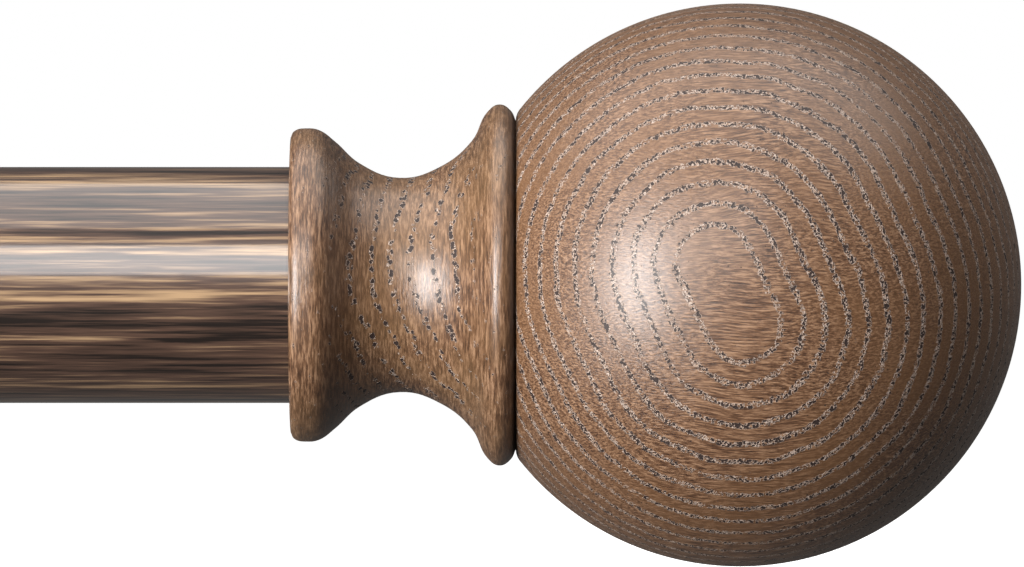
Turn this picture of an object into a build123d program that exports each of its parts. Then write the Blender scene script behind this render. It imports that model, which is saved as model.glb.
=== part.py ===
"""Telescoping curtain rod with two turned wooden ball finials and two adjustable wall brackets.

Units are millimetres. The rod runs along X, the wall is the plane Y = 0 with the room on its -Y side,
and Z is up. The origin is on the wall plane, at the centre of the right bracket's wall plate.

Two steel tubes telescope. The right bracket carries the outer tube, and the inner tube slides out to
the left through a guide bush. Each rod end is closed by a nylon plug with a brass insert, and a hanger
bolt screws the finial (a cove-turned spool and a ball) into it. Each bracket is a wall plate with a
welded sleeve, a round arm that slides in it and a U-shaped cradle. Thumbscrews lock the arm and the rod.
"""

import os
from copy import copy

from build123d import *

# ---- Rod ----------------------------------------------------------------------------------------
closed_length = 711.2           # 28 in, from plug face to plug face, telescoped shut
extension = 508.0               # 20 in of travel, to 48 in
least_overlap = 118.0           # inner tube left inside the outer one at full extension
tube_diameter = 25.4            # outer tube, 1 in
tube_wall = 0.8
inner_tube_diameter = 22.2
inner_tube_wall = 0.7
collar_length = 12.0            # ring that brings the inner tube's end up to the outer diameter
bush_length = 15.0              # plastic guide in the outer tube's mouth, and the glide on the tail
bush_lip = 1.5

# ---- Plugs and finial fixings -------------------------------------------------------------------
plug_length = 18.0
plug_lip = 1.2
plug_skirt = 1.9                # wall of the moulded plug around its relief pocket
plug_boss_radius = 6.5
plug_web = 4.0                  # solid floor left under the relief pocket
insert_radius = 4.5
insert_length = 12.0
bolt_radius = 3.0               # M6 hanger bolt
bolt_engagement = 14.0          # thread beyond the spool's socket
bolt_in_ball = 20.0             # thread beyond the tenon's end, inside the ball
bolt_chamfer = 0.6

# ---- Finial -------------------------------------------------------------------------------------
spool_length = 24.2
spool_face_radius = 15.95       # flat front face, where the rod enters
socket_depth = 4.5              # the rod end sits this deep in the spool
front_bead_radius = 16.7        # small bead, at the rod
front_bead_width = 4.6
front_bead_crown = 1.84         # from the spool's front face to the bead's largest radius
front_bead_edge = 0.25          # drop from the crown to the bead's rounded front edge
front_bead_edge_share = 0.22    # where that edge lies between the front face and the crown
front_bead_drop = 1.1           # drop from the crown to the start of the cove
waist_radius = 11.55
waist_position = 11.4
rear_bead_radius = 19.4         # large bead, at the ball
rear_bead_width = 4.0
rear_bead_crown = 1.76          # from the spool's rear face to the bead's largest radius
rear_bead_drop = 2.75           # drop from the crown to the end of the cove
rear_bead_edge = 1.7            # drop from the crown to the rim under the ball
ball_radius = 30.3
ball_set_in = 6.2               # how far the ball is cut back to seat on the spool
ball_rim_chamfer = 0.6
tenon_radius = 8.0
tenon_length = 6.0

# ---- Bracket ------------------------------------------------------------------------------------
end_overhang = 80.0             # bracket centre to the rod's end
projection = 90.0               # wall to rod axis, arm pushed home
plate_width = 34.0
plate_height = 74.0
plate_thickness = 3.0
plate_corner = 8.0
plate_bevel = 1.2
wall_screw_spacing = 50.0
wall_screw_radius = 2.0         # thread behind the plate
wall_screw_neck = 2.2           # plain shank inside the plate
wall_screw_length = 34.0
wall_screw_tip = 5.0
wall_hole_radius = 2.4
wall_head_radius = 4.4
cross_recess_width = 0.9
cross_recess_span = 4.4
cross_recess_depth = 1.6
sleeve_radius = 7.0
sleeve_length = 60.0
sleeve_chamfer = 0.6
rosette_radius = 12.0
rosette_height = 6.0
rosette_rim = 1.8               # straight edge against the plate
rosette_land = 1.2              # flat top around the sleeve
arm_radius = 5.0
arm_chamfer = 0.5
arm_tail_gap = 2.0              # arm's tail to the wall plate when pushed home
cradle_thickness = 3.0
cradle_width = 16.0
cradle_leg_height = 8.0         # legs rise this far above the rod axis
cradle_end_share = 0.45         # corner radius of the strap's ends, as a share of its width
cradle_edge = 0.6               # rounding of the strap's long edges
fixing_radius = 2.5             # M5 countersunk screw, cradle to arm
fixing_head_radius = 4.4
fixing_length = 14.0
hex_socket_radius = 1.7
hex_socket_depth = 1.4

# ---- Thumbscrews --------------------------------------------------------------------------------
lock_radius = 2.0               # M4
lock_thread_length = 6.0        # tapped wall and boss together
lock_boss_radius = 5.0
lock_tip_chamfer = 0.4
knob_radius = 5.5
knob_length = 7.0
knob_chamfer = 0.7
knob_neck_radius = 3.4
knob_neck_length = 1.2
knob_standoff = 0.8             # neck to boss when the tip is at the rod
knob_bore_depth = 6.0
knob_flutes = 20
knob_flute_radius = 0.55

# ---- Clearances ---------------------------------------------------------------------------------
running_gap = 0.05              # radius to radius, for pieces that slide or turn on each other
socket_gap = 0.10               # rod end in the spool's socket
rest_gap = 0.30                 # rod to cradle, and locking tips to what they lock
seat_gap = 0.10                 # flat faces of moving pieces that meet
head_gap = 0.05                 # screw heads in their countersinks
cut_overshoot = 1.0             # how far a drilled hole runs past the faces that it opens

# ---- Sizes that follow --------------------------------------------------------------------------
tube_radius = tube_diameter / 2
tube_bore = tube_radius - tube_wall
inner_tube_radius = inner_tube_diameter / 2
inner_tube_bore = inner_tube_radius - inner_tube_wall
cradle_inner = tube_radius + rest_gap
cradle_outer = cradle_inner + cradle_thickness
cradle_boss_length = lock_thread_length - cradle_thickness
sleeve_mouth = plate_thickness + sleeve_length
arm_tail = plate_thickness + arm_tail_gap
arm_end = projection - cradle_outer
arm_lock_distance = sleeve_mouth - 2 * lock_boss_radius
arm_lock_reach = arm_radius + rest_gap + lock_thread_length
lock_length = lock_thread_length + knob_standoff + knob_bore_depth
bolt_hole = bolt_radius + running_gap
lock_hole = lock_radius + running_gap
rod_right = end_overhang
rod_left = end_overhang - closed_length
bracket_spacing = closed_length - 2 * end_overhang
inner_tube_left = rod_left + plug_lip
collar_right = inner_tube_left + collar_length
tube_left = collar_right + seat_gap + bush_lip
tube_right = rod_right - plug_lip
inner_tube_length = extension + least_overlap + (tube_left - inner_tube_left)
ball_centre = spool_length + ball_radius - ball_set_in
rod_line = Location((0, -projection, 0))

os.makedirs("parts", exist_ok=True)


def write(shape, name, place=None):
    """Write one finished piece as parts/NAME.step, at its place in the assembly."""
    piece = copy(shape) if place is None else copy(shape).moved(place)
    piece.label = name
    export_step(piece, f"parts/{name}.step")


def ring_profile(inner, outer, start, length):
    """Half section of a ring about X, for the sketch of a revolved piece."""
    with Locations((start, inner)):
        Rectangle(length, outer - inner, align=(Align.MIN, Align.MIN))


# ==== Bracket, in its own frame: X = 0 at its centre ================================================

# Stamped wall plate with a bevelled front rim and two countersunk screw holes.
with BuildPart() as wall_plate:
    with BuildSketch(Plane.XZ):
        RectangleRounded(plate_width, plate_height, plate_corner)
    extrude(amount=plate_thickness)
    chamfer(faces().sort_by(Axis.Y)[0].edges(), plate_bevel)
    with Locations(Plane.XZ.offset(plate_thickness)):
        with GridLocations(0, wall_screw_spacing, 1, 2):
            CounterSinkHole(wall_hole_radius, wall_head_radius, depth=plate_thickness)

# Turned rosette that hides the weld between plate and sleeve.
with BuildPart() as rosette:
    with BuildSketch(Plane.XY):
        with BuildLine():
            rim = Line((sleeve_radius, 0), (rosette_radius, 0))
            step = Line(rim @ 1, (rosette_radius, rosette_rim))
            cove = RadiusArc(step @ 1, (sleeve_radius + rosette_land, rosette_height), rosette_height)
            top = Line(cove @ 1, (sleeve_radius, rosette_height))
            Line(top @ 1, rim @ 0)
        make_face()
    revolve(axis=Axis.Y)
rosette_place = Location((0, -plate_thickness, 0), (180, 0, 0))

# Sleeve that the arm slides in, with a tapped boss under its mouth for the locking thumbscrew.
with BuildPart() as arm_sleeve:
    with BuildSketch(Plane.XZ.offset(plate_thickness)):
        Circle(sleeve_radius)
    extrude(amount=sleeve_length)
    chamfer(faces().sort_by(Axis.Y)[0].edges(), sleeve_chamfer)
    with BuildSketch(Plane.XY.offset(-arm_lock_reach)):
        with Locations((0, -arm_lock_distance)):
            Circle(lock_boss_radius)
    extrude(amount=arm_lock_reach)
    with BuildSketch(Plane.XZ.offset(plate_thickness)):
        Circle(arm_radius + running_gap)
    extrude(amount=sleeve_length, mode=Mode.SUBTRACT)
    with BuildSketch(Plane.XY.offset(-arm_lock_reach)):
        with Locations((0, -arm_lock_distance)):
            Circle(lock_hole)
    extrude(amount=arm_lock_reach, mode=Mode.SUBTRACT)

# Two wood screws, heads flush in the plate. A cross recess is sunk in each head.
with BuildPart() as wall_screw:
    with BuildSketch(Plane.XY):
        with BuildLine():
            Polyline(
                (0, -plate_thickness),
                (wall_head_radius - head_gap, -plate_thickness),
                (wall_screw_neck, -plate_thickness + wall_head_radius - wall_screw_neck),
                (wall_screw_neck, 0),
                (wall_screw_radius, 0),
                (wall_screw_radius, wall_screw_length - wall_screw_tip),
                (0, wall_screw_length),
                (0, -plate_thickness),
            )
        make_face()
    revolve(axis=Axis.Y)
    with BuildSketch(Plane.XZ.offset(plate_thickness)):
        Rectangle(cross_recess_span, cross_recess_width)
        Rectangle(cross_recess_width, cross_recess_span)
    extrude(amount=-cross_recess_depth, mode=Mode.SUBTRACT)
wall_screws = Compound(
    [wall_screw.part.moved(Location((0, 0, side * wall_screw_spacing / 2))) for side in (-1, 1)]
)

# Round arm, tapped at its front end for the screw that holds the cradle.
with BuildPart() as bracket_arm:
    with BuildSketch(Plane.XZ.offset(arm_tail)):
        Circle(arm_radius)
    extrude(amount=arm_end - arm_tail)
    chamfer(edges().filter_by(GeomType.CIRCLE).group_by(Axis.Y)[-1], arm_chamfer)
    with BuildSketch(Plane.XZ.offset(arm_end)):
        Circle(fixing_radius)
    extrude(amount=cradle_thickness - fixing_length, mode=Mode.SUBTRACT)

# U-shaped cradle: a bent strap with rounded leg ends and a tapped boss on the front leg.
with BuildPart() as rod_cradle:
    with BuildSketch(Plane.YZ):
        with Locations((-projection, 0)):
            Circle(cradle_outer)
            Rectangle(2 * cradle_outer, cradle_leg_height, align=(Align.CENTER, Align.MIN))
            Circle(cradle_inner, mode=Mode.SUBTRACT)
            Rectangle(
                2 * cradle_inner,
                cradle_leg_height,
                align=(Align.CENTER, Align.MIN),
                mode=Mode.SUBTRACT,
            )
    extrude(amount=cradle_width / 2, both=True)
    with BuildSketch(Plane.XZ.offset(projection)):
        with Locations((0, cradle_leg_height)):
            RectangleRounded(
                cradle_width,
                2 * (cradle_outer + cradle_leg_height),
                cradle_width * cradle_end_share,
                align=(Align.CENTER, Align.MAX),
            )
    extrude(amount=cradle_outer, both=True, mode=Mode.INTERSECT)
    fillet(edges(), cradle_edge)
    with BuildSketch(Plane.XZ.offset(projection + cradle_outer)):
        Circle(lock_boss_radius)
    extrude(amount=cradle_boss_length)
    with BuildSketch(Plane.XZ.offset(projection + cradle_inner - cut_overshoot)):
        Circle(lock_hole)
    extrude(amount=lock_thread_length + 2 * cut_overshoot, mode=Mode.SUBTRACT)
    with Locations(Plane.XZ.offset(projection - cradle_inner)):
        CounterSinkHole(fixing_radius + head_gap, fixing_head_radius, depth=cradle_thickness)

# Countersunk socket screw from inside the cradle into the arm.
with BuildPart() as cradle_fixing:
    with BuildSketch(Plane.XY):
        with BuildLine():
            Polyline(
                (0, 0),
                (fixing_head_radius - head_gap, 0),
                (fixing_radius - head_gap, fixing_head_radius - fixing_radius),
                (fixing_radius - head_gap, fixing_length - head_gap),
                (0, fixing_length - head_gap),
                (0, 0),
            )
        make_face()
    revolve(axis=Axis.Y)
    with BuildSketch(Plane.XZ):
        RegularPolygon(hex_socket_radius, 6)
    extrude(amount=-hex_socket_depth, mode=Mode.SUBTRACT)
cradle_fixing_place = Location((0, cradle_inner - projection, 0))

# ==== Thumbscrew, in its own frame: +X away from the rod, X = 0 at its tip ==========================

with BuildPart() as lock_shank:
    with BuildSketch(Plane.YZ):
        Circle(lock_radius)
    extrude(amount=lock_length)
    chamfer(faces().sort_by(Axis.X)[0].edges(), lock_tip_chamfer)

knob_start = lock_thread_length + knob_standoff
with BuildPart() as lock_knob:
    with BuildSketch(Plane.YZ.offset(knob_start)):
        Circle(knob_neck_radius)
    extrude(amount=knob_neck_length)
    with BuildSketch(Plane.YZ.offset(knob_start + knob_neck_length)):
        Circle(knob_radius)
    extrude(amount=knob_length)
    chamfer(faces().filter_by(GeomType.CYLINDER).sort_by(SortBy.AREA)[-1].edges(), knob_chamfer)
    with BuildSketch(Plane.YZ.offset(knob_start + knob_neck_length)):
        with PolarLocations(knob_radius, knob_flutes):
            Circle(knob_flute_radius)
    extrude(amount=knob_length, mode=Mode.SUBTRACT)
    with BuildSketch(Plane.YZ.offset(knob_start)):
        Circle(lock_hole)
    extrude(amount=knob_bore_depth + seat_gap, mode=Mode.SUBTRACT)

cradle_lock_place = Location((0, -projection - cradle_inner, 0), (0, 0, -90))
arm_lock_place = Location((0, -arm_lock_distance, -arm_radius - rest_gap), (0, 90, 0))

# ==== Rod ===========================================================================================

with BuildPart() as outer_tube:
    with BuildSketch(Plane.YZ.offset(tube_left)):
        Circle(tube_radius)
        Circle(tube_bore, mode=Mode.SUBTRACT)
    extrude(amount=tube_right - tube_left)

with BuildPart() as inner_tube:
    with BuildSketch(Plane.YZ.offset(inner_tube_left)):
        Circle(inner_tube_radius)
        Circle(inner_tube_bore, mode=Mode.SUBTRACT)
    extrude(amount=inner_tube_length)

# Plastic guide pressed into the outer tube's mouth. Its lip covers the cut edge.
with BuildPart() as guide_bush:
    with BuildSketch(Plane.XY):
        ring_profile(inner_tube_radius + running_gap, tube_bore, tube_left, bush_length)
        ring_profile(inner_tube_radius + running_gap, tube_radius, tube_left - bush_lip, bush_lip)
    revolve(axis=Axis.X)

# Plastic glide on the inner tube's tail, which keeps it centred and can't pass the guide bush.
tail_end = inner_tube_left + inner_tube_length
with BuildPart() as tail_glide:
    with BuildSketch(Plane.XY):
        ring_profile(inner_tube_radius, tube_bore - running_gap, tail_end - bush_length, bush_length)
        ring_profile(inner_tube_bore, tube_bore - running_gap, tail_end, bush_lip)
    revolve(axis=Axis.X)

# Ring on the inner tube's end, as thick as the outer tube, so that both finials are the same.
with BuildPart() as end_collar:
    with BuildSketch(Plane.XY):
        ring_profile(inner_tube_radius, tube_radius, inner_tube_left, collar_length)
    revolve(axis=Axis.X)


def end_plug(bore):
    """Moulded plug for a tube of this bore: X = 0 at its lip's outer face, with the tube towards -X."""
    pocket = bore - plug_skirt - plug_boss_radius
    with BuildPart() as plug:
        with BuildSketch(Plane.XY):
            ring_profile(insert_radius, tube_radius, -plug_lip, plug_lip)
            ring_profile(insert_radius, bore, -plug_length, plug_length - plug_lip)
        revolve(axis=Axis.X)
        with BuildSketch(Plane.XY):
            ring_profile(plug_boss_radius, plug_boss_radius + pocket, -plug_length, plug_length - plug_web)
        revolve(axis=Axis.X, mode=Mode.SUBTRACT)
    return plug.part


with BuildPart() as thread_insert:
    with BuildSketch(Plane.XY):
        ring_profile(bolt_hole, insert_radius, -insert_length, insert_length)
    revolve(axis=Axis.X)

# ==== Finial, in its own frame: +X away from the rod, X = 0 at the spool's front face ================

# Cove-turned spool: a small bead at the rod, a waist, and a larger bead under the ball.
with BuildPart() as finial_spool:
    with BuildSketch(Plane.XY):
        with BuildLine():
            face = Line((0, tube_radius + socket_gap), (0, spool_face_radius))
            front_bead = Spline(
                face @ 1,
                (front_bead_crown * front_bead_edge_share, front_bead_radius - front_bead_edge),
                (front_bead_crown, front_bead_radius),
                (front_bead_width, front_bead_radius - front_bead_drop),
                tangents=[(0, 1), (1, -1)],
            )
            waist = Spline(
                front_bead @ 1,
                (waist_position, waist_radius),
                (spool_length - rear_bead_width, rear_bead_radius - rear_bead_drop),
                tangents=[(1, -1), (0.6, 1)],
            )
            rear_bead = Spline(
                waist @ 1,
                (spool_length - rear_bead_crown, rear_bead_radius),
                (spool_length, rear_bead_radius - rear_bead_edge),
                tangents=[(0.6, 1), (0, -1)],
            )
            Polyline(
                rear_bead @ 1,
                (spool_length, tenon_radius),
                (spool_length + tenon_length, tenon_radius),
                (spool_length + tenon_length, bolt_hole),
                (socket_depth + seat_gap, bolt_hole),
                (socket_depth + seat_gap, tube_radius + socket_gap),
                face @ 0,
            )
        make_face()
    revolve(axis=Axis.X)

# Ball, cut flat where it seats, with a socket for the spool's tenon and a pilot hole for the bolt.
with BuildPart() as finial_ball:
    with Locations((ball_centre, 0, 0)):
        Sphere(ball_radius)
    split(bisect_by=Plane.YZ.offset(spool_length), keep=Keep.TOP)
    chamfer(faces().sort_by(Axis.X)[0].edges(), ball_rim_chamfer)
    with BuildSketch(Plane.YZ.offset(spool_length)):
        Circle(tenon_radius)
    extrude(amount=tenon_length + seat_gap, mode=Mode.SUBTRACT)
    with BuildSketch(Plane.YZ.offset(spool_length)):
        Circle(bolt_hole)
    extrude(amount=tenon_length + bolt_in_ball + seat_gap, mode=Mode.SUBTRACT)

# Hanger bolt: wood thread in the ball, machine thread in the rod's insert.
bolt_start = socket_depth - bolt_engagement
with BuildPart() as finial_bolt:
    with BuildSketch(Plane.YZ.offset(bolt_start)):
        Circle(bolt_radius)
    extrude(amount=spool_length + tenon_length + bolt_in_ball - bolt_start)
    chamfer(edges().filter_by(GeomType.CIRCLE), bolt_chamfer)

# ==== Assembly ======================================================================================

right_end = rod_line * Location((rod_right, 0, 0))
left_end = rod_line * Location((rod_left, 0, 0), (0, 0, 180))
finial_step = Location((-socket_depth, 0, 0))

for side, bracket_x, rod_end, bore in (
    ("right", 0, right_end, tube_bore),
    ("left", -bracket_spacing, left_end, inner_tube_bore),
):
    bracket = Location((bracket_x, 0, 0))
    write(wall_plate.part, f"wall_plate_{side}", bracket)
    write(rosette.part, f"sleeve_rosette_{side}", bracket * rosette_place)
    write(arm_sleeve.part, f"arm_sleeve_{side}", bracket)
    write(wall_screws, f"wall_screws_{side}", bracket)
    write(bracket_arm.part, f"bracket_arm_{side}", bracket)
    write(rod_cradle.part, f"rod_cradle_{side}", bracket)
    write(cradle_fixing.part, f"cradle_fixing_screw_{side}", bracket * cradle_fixing_place)
    for lock, place in (("cradle_lock", cradle_lock_place), ("arm_lock", arm_lock_place)):
        write(lock_shank.part, f"{lock}_shank_{side}", bracket * place)
        write(lock_knob.part, f"{lock}_knob_{side}", bracket * place)
    write(end_plug(bore), f"end_plug_{side}", rod_end)
    write(thread_insert.part, f"thread_insert_{side}", rod_end)
    write(finial_bolt.part, f"finial_bolt_{side}", rod_end * finial_step)
    write(finial_spool.part, f"finial_spool_{side}", rod_end * finial_step)
    write(finial_ball.part, f"finial_ball_{side}", rod_end * finial_step)

for name, piece in (
    ("outer_tube", outer_tube),
    ("inner_tube", inner_tube),
    ("guide_bush", guide_bush),
    ("tail_glide", tail_glide),
    ("end_collar", end_collar),
):
    write(piece.part, name, rod_line)
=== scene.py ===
"""Curtain rod set: the finish of its turned wooden finials, printed rod, brackets and fixings.

The file is laid out as an add-on and runs as a script. Each operator makes one kind of piece around
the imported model, and main() calls them in order. Lengths are in metres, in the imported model's frame:
the rod lies along X, the wall is the plane Y = 0 with the room at negative Y, and Z is up.
"""

from math import pi, radians, sqrt, tau

import bmesh
import bpy
from mathutils import Matrix, Vector


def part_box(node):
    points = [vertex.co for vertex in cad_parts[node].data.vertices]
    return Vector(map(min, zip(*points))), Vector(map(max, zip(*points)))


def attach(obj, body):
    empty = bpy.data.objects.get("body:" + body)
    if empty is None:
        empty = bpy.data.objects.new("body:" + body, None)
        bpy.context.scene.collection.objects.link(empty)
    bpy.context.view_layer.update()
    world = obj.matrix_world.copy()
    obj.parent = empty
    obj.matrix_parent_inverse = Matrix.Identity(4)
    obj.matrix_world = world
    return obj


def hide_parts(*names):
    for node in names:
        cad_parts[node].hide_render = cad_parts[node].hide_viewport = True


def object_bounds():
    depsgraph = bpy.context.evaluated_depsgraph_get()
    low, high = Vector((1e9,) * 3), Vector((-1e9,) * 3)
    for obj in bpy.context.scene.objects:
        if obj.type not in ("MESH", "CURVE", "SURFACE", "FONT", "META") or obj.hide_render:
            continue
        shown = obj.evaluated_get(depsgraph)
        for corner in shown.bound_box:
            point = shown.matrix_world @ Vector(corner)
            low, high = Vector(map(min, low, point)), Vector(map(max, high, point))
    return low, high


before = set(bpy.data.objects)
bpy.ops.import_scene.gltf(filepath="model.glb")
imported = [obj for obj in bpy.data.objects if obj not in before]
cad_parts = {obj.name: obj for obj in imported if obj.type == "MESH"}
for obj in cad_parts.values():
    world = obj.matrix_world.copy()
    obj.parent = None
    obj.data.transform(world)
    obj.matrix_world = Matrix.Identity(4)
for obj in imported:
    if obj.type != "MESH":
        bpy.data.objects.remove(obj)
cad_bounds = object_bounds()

bl_info = {
    "name": "Curtain Rod Set",
    "version": (1, 0, 0),
    "blender": (4, 5, 0),
    "location": "3D Viewport > Sidebar > Curtain Rod",
    "description": "Finishes a telescoping curtain rod with wooden ball finials and wall brackets",
    "category": "Object",
}

MM = 0.001
SIDES = ("right", "left")
OUTWARD = {"right": Vector((1, 0, 0)), "left": Vector((-1, 0, 0))}


def node_size(node):
    """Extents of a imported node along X, Y and Z."""
    low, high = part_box(node)
    return high - low


def node_middle(node):
    """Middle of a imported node's box."""
    low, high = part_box(node)
    return (low + high) / 2


def linear(hex_colour):
    """Linear RGBA of an sRGB hex colour."""
    channels = (int(hex_colour[i:i + 2], 16) / 255 for i in (1, 3, 5))
    return (*(c / 12.92 if c <= 0.04045 else ((c + 0.055) / 1.055) ** 2.4 for c in channels), 1.0)


# ---- Settings --------------------------------------------------------------------------------------

def tint(name, hex_colour, description):
    """A colour property that holds a linear colour."""
    return bpy.props.FloatVectorProperty(
        name=name, description=description, subtype="COLOR", size=4, min=0.0, max=1.0,
        default=linear(hex_colour),
    )


def span(name, size, description):
    """A length property."""
    return bpy.props.FloatProperty(
        name=name, description=description, unit="LENGTH", precision=5, default=size,
    )


class CurtainRodColours(bpy.types.PropertyGroup):
    """Colours of the finishes"""

    ash_mid: tint("Stain", "#5a3e2a", "Stained ash between the growth rings")
    ash_dark: tint("Dark Fibre", "#2e1b10", "Fibres that took more stain")
    ash_light: tint("Light Fibre", "#8b6c53", "Fibres that took less stain")
    ash_warm: tint("Warm Patch", "#634429", "Broad patches where the stain is redder")
    ash_ochre: tint("Ochre Patch", "#6e5336", "Broad patches on the spools where the stain is thinner")
    # The pore colour is also painted as shade in the spools' hollow and groove.
    pore: tint("Open Pore", "#1e0d06", "Stain gathered in the open pores")
    # Painted highlight: the pale colour laid on the pores' rims stands in for light catching them.
    pore_rim_glint: tint("Pore Rim Glint", "#bcaa9d", "Raised fibre along the open pores, rubbed pale")
    foil_dark: tint("Foil Dark Streak", "#140c08", "Darkest printed streaks")
    foil_brown: tint("Foil Brown", "#463329", "Printed brown between the streaks")
    foil_tan: tint("Foil Tan Streak", "#93785a", "Lightest printed streaks")
    bronze: tint("Bronze Coat", "#3a2a20", "Powder coat on the brackets")
    bronze_fleck: tint("Bronze Fleck", "#7a5a3e", "Mica flecks in the powder coat")
    knob: tint("Knob Bronze", "#6b4c35", "Bare bronze of the knobs")
    knob_patina: tint("Knob Patina", "#2c1f18", "Oiled patina in the knobs' flutes")
    zinc: tint("Zinc", "#c4c7c8", "Zinc plating on screws and bolts")
    zinc_dull: tint("Dull Zinc", "#9a9c98", "Patches where the zinc has dulled")
    brass: tint("Brass", "#c8a664", "Thread inserts")
    brass_dull: tint("Dull Brass", "#a07f48", "Patches where the brass has darkened")
    nylon: tint("Nylon", "#2a211c", "Plugs, bush and glide")
    nylon_flow: tint("Nylon Flow Line", "#382d26", "Paler flow lines in the moulded nylon")


class CurtainRodSizes(bpy.types.PropertyGroup):
    """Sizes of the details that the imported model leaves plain"""

    ring_spacing: span("Ring Spacing", 2.38 * MM, "Distance between growth rings on the ball")
    row_spacing: span("Row Spacing", 2.2 * MM, "Distance between the rows of pits on the spool")
    bolt_pitch: span("Bolt Pitch", 1.0 * MM, "Pitch of the M6 thread on the finial bolts")
    bolt_wood_pitch: span("Bolt Wood Pitch", 2.2 * MM, "Pitch of the bolts' wood thread")
    lock_pitch: span("Thumbscrew Pitch", 0.7 * MM, "Pitch of the M4 thread on the thumbscrews")
    wall_pitch: span("Wall Screw Pitch", 1.8 * MM, "Pitch of the thread on the wall screws")


# ---- Materials -------------------------------------------------------------------------------------

def new_tree(name):
    """An empty node material with a Principled shader: the material, its tree and the shader."""
    material = bpy.data.materials.new(name)
    material.use_nodes = True
    tree = material.node_tree
    tree.nodes.clear()
    shader = tree.nodes.new("ShaderNodeBsdfPrincipled")
    output = tree.nodes.new("ShaderNodeOutputMaterial")
    tree.links.new(shader.outputs["BSDF"], output.inputs["Surface"])
    return material, tree, shader


def add(tree, kind, inputs=(), stops=(), **settings):
    """Add a shader node with its settings, and with its stops if it is a colour ramp.

    Inputs maps each socket to a value, to another node's output, or to a node, which gives its first
    output in use.
    """
    node = tree.nodes.new("ShaderNode" + kind)
    for name, value in settings.items():
        setattr(node, name, value)
    for number, (position, colour) in enumerate(stops):
        elements = node.color_ramp.elements
        stop = elements[number] if number < 2 else elements.new(position)
        stop.position = position
        stop.color = colour
    for socket, source in dict(inputs).items():
        if isinstance(source, bpy.types.Node):
            source = next(output for output in source.outputs if output.enabled)
        if isinstance(source, bpy.types.NodeSocket):
            tree.links.new(source, node.inputs[socket])
        else:
            node.inputs[socket].default_value = source
    return node


def fit(shader, **values):
    """Set a shader's own sockets: words in a name are joined by underscores."""
    for name, value in values.items():
        shader.inputs[name.replace("_", " ")].default_value = value


def ash_fibre(tree, place, seed):
    """Fibre streaks of stained ash, drawn out along the mapped X: their colour and their height."""
    colours = bpy.context.scene.curtain_rod_colours
    fibre = add(tree, "TexNoise", {"Vector": place, "W": seed, "Scale": 1.0, "Detail": 3.0,
                                   "Roughness": 0.75}, noise_dimensions="4D")
    streak = add(tree, "ValToRGB", {"Fac": fibre}, stops=[
        (0.37, colours.ash_dark), (0.49, colours.ash_mid), (0.63, colours.ash_light)])
    return streak, fibre


def open_pores(tree, clear, porous, body):
    """Pores with a painted glint on their rims, laid over the body colour where the wood is porous.

    Clear is below 0 inside a pore and grows with the distance from its wall. Gives the colour, the pores'
    mask and the edges' mask.
    """
    colours = bpy.context.scene.curtain_rod_colours
    pore = add(tree, "MapRange", {0: clear, 1: -0.03, 2: 0.015, 3: 1.0, 4: 0.0},
               interpolation_type="SMOOTHSTEP")
    # The rim is a narrow stretch just clear of each pore, tinted pale as a painted glint.
    from_rim = add(tree, "Math", {0: clear, 1: 0.055}, operation="SUBTRACT")
    off_rim = add(tree, "Math", {0: from_rim}, operation="ABSOLUTE")
    rim = add(tree, "MapRange", {0: off_rim, 1: 0.015, 2: 0.055, 3: 1.0, 4: 0.0})
    edge = add(tree, "Math", {0: rim, 1: porous}, operation="MULTIPLY")
    # Painted highlight: the rims' pale colour stands in for light catching their edges.
    glint_share = add(tree, "Math", {0: edge, 1: 0.72}, operation="MULTIPLY")
    pale = add(tree, "Mix", {0: glint_share, 6: body, 7: colours.pore_rim_glint}, data_type="RGBA")
    return add(tree, "Mix", {0: pore, 6: pale, 7: colours.pore}, data_type="RGBA"), pore, edge


def satin_lacquer(tree, shader, colour, pore, edge, fibre):
    """Thin satin lacquer over open-pored wood: sunken and dull in the pores, proud along their edges."""
    dull = add(tree, "MapRange", {0: pore, 3: 0.40, 4: 0.75})
    relief = add(tree, "Math", {0: pore, 1: -1.0, 2: edge}, operation="MULTIPLY_ADD")
    height = add(tree, "Math", {0: fibre, 1: 1.0, 2: relief}, operation="MULTIPLY_ADD")
    bump = add(tree, "Bump", {"Height": height, "Strength": 0.8, "Distance": 0.08 * MM})
    tree.links.new(colour.outputs[2], shader.inputs["Base Color"])
    tree.links.new(dull.outputs[0], shader.inputs["Roughness"])
    tree.links.new(bump.outputs[0], shader.inputs["Normal"])
    fit(shader, IOR=1.5, Coat_Weight=0.30, Coat_Roughness=0.34)


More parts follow.
